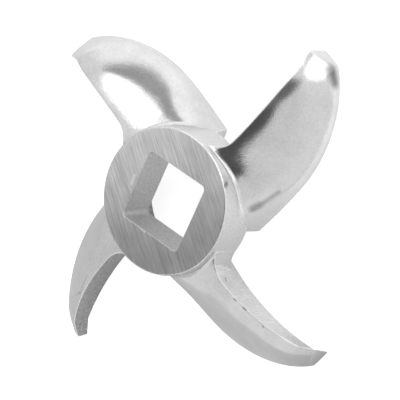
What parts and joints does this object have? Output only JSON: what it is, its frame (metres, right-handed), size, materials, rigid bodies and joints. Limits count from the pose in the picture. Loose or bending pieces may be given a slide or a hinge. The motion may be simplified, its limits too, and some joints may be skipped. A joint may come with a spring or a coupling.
{
  "type": "meat grinder knife",
  "caption": "Cast cross-shaped grinder knife with swept, scooped arms, sharp cutting edges and a square drive bore in a round hub.",
  "frame": {"origin": "centre of the drive bore in the cutting plane that runs on the plate", "axes": "+Z from the cutting plane to the ground front face of the hub; the first arm sweeps towards +X and +Y"},
  "size_m": [0.0612, 0.0612, 0.0129],
  "materials": {
    "ground_steel": "ground and polished cast steel with straight grinding lines"
  },
  "bodies": {
    "root": {"knife": "ground_steel"}
  },
  "joints": []
}
